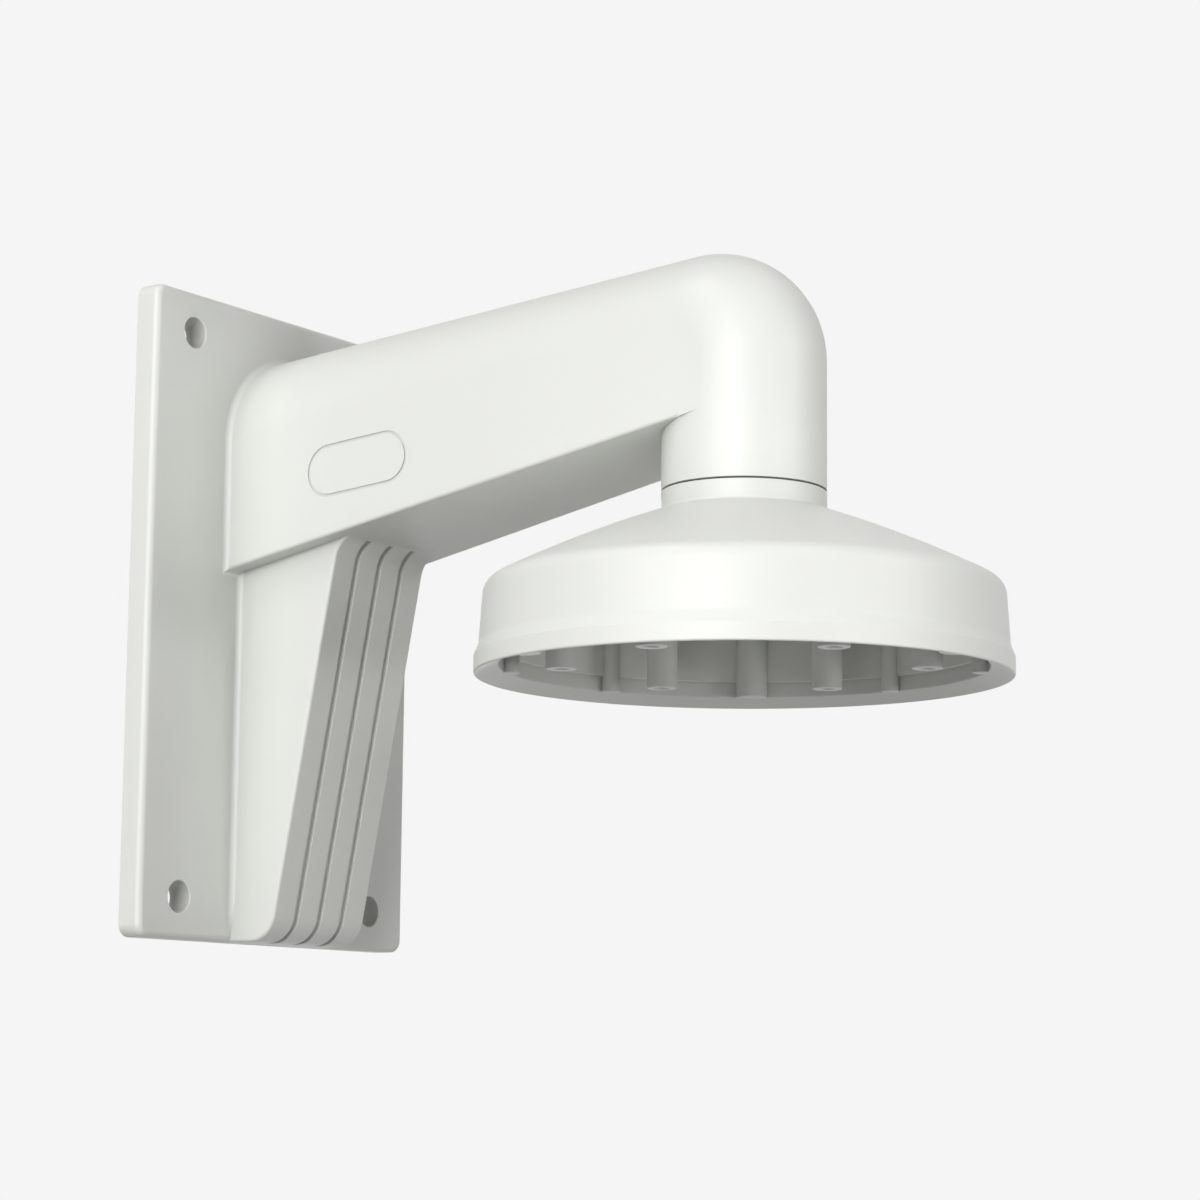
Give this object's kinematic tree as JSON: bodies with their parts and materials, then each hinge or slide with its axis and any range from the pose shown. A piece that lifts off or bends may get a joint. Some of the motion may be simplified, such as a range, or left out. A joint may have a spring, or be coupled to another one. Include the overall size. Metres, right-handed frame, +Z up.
{
  "type": "camera wall bracket",
  "caption": "Wall bracket for a dome camera: screw plate, fluted gusset, hollow arm bending down into a short tube, and a round flared cap open below.",
  "frame": {"origin": "centre of the four wall screws, on the wall plane at the plate's back", "axes": "+X out of the wall along the arm, +Z up, +Y across the plate"},
  "size_m": [0.2333, 0.14, 0.181],
  "materials": {
    "coated_casting": "satin powder coat",
    "coated_cap": "satin powder coat",
    "seal": "matte",
    "screw_steel": "satin"
  },
  "bodies": {
    "root": {"bracket_casting": "coated_casting", "dome_cap": "coated_cap", "neck_seal": "seal", "locking_screw": "screw_steel"}
  },
  "joints": []
}
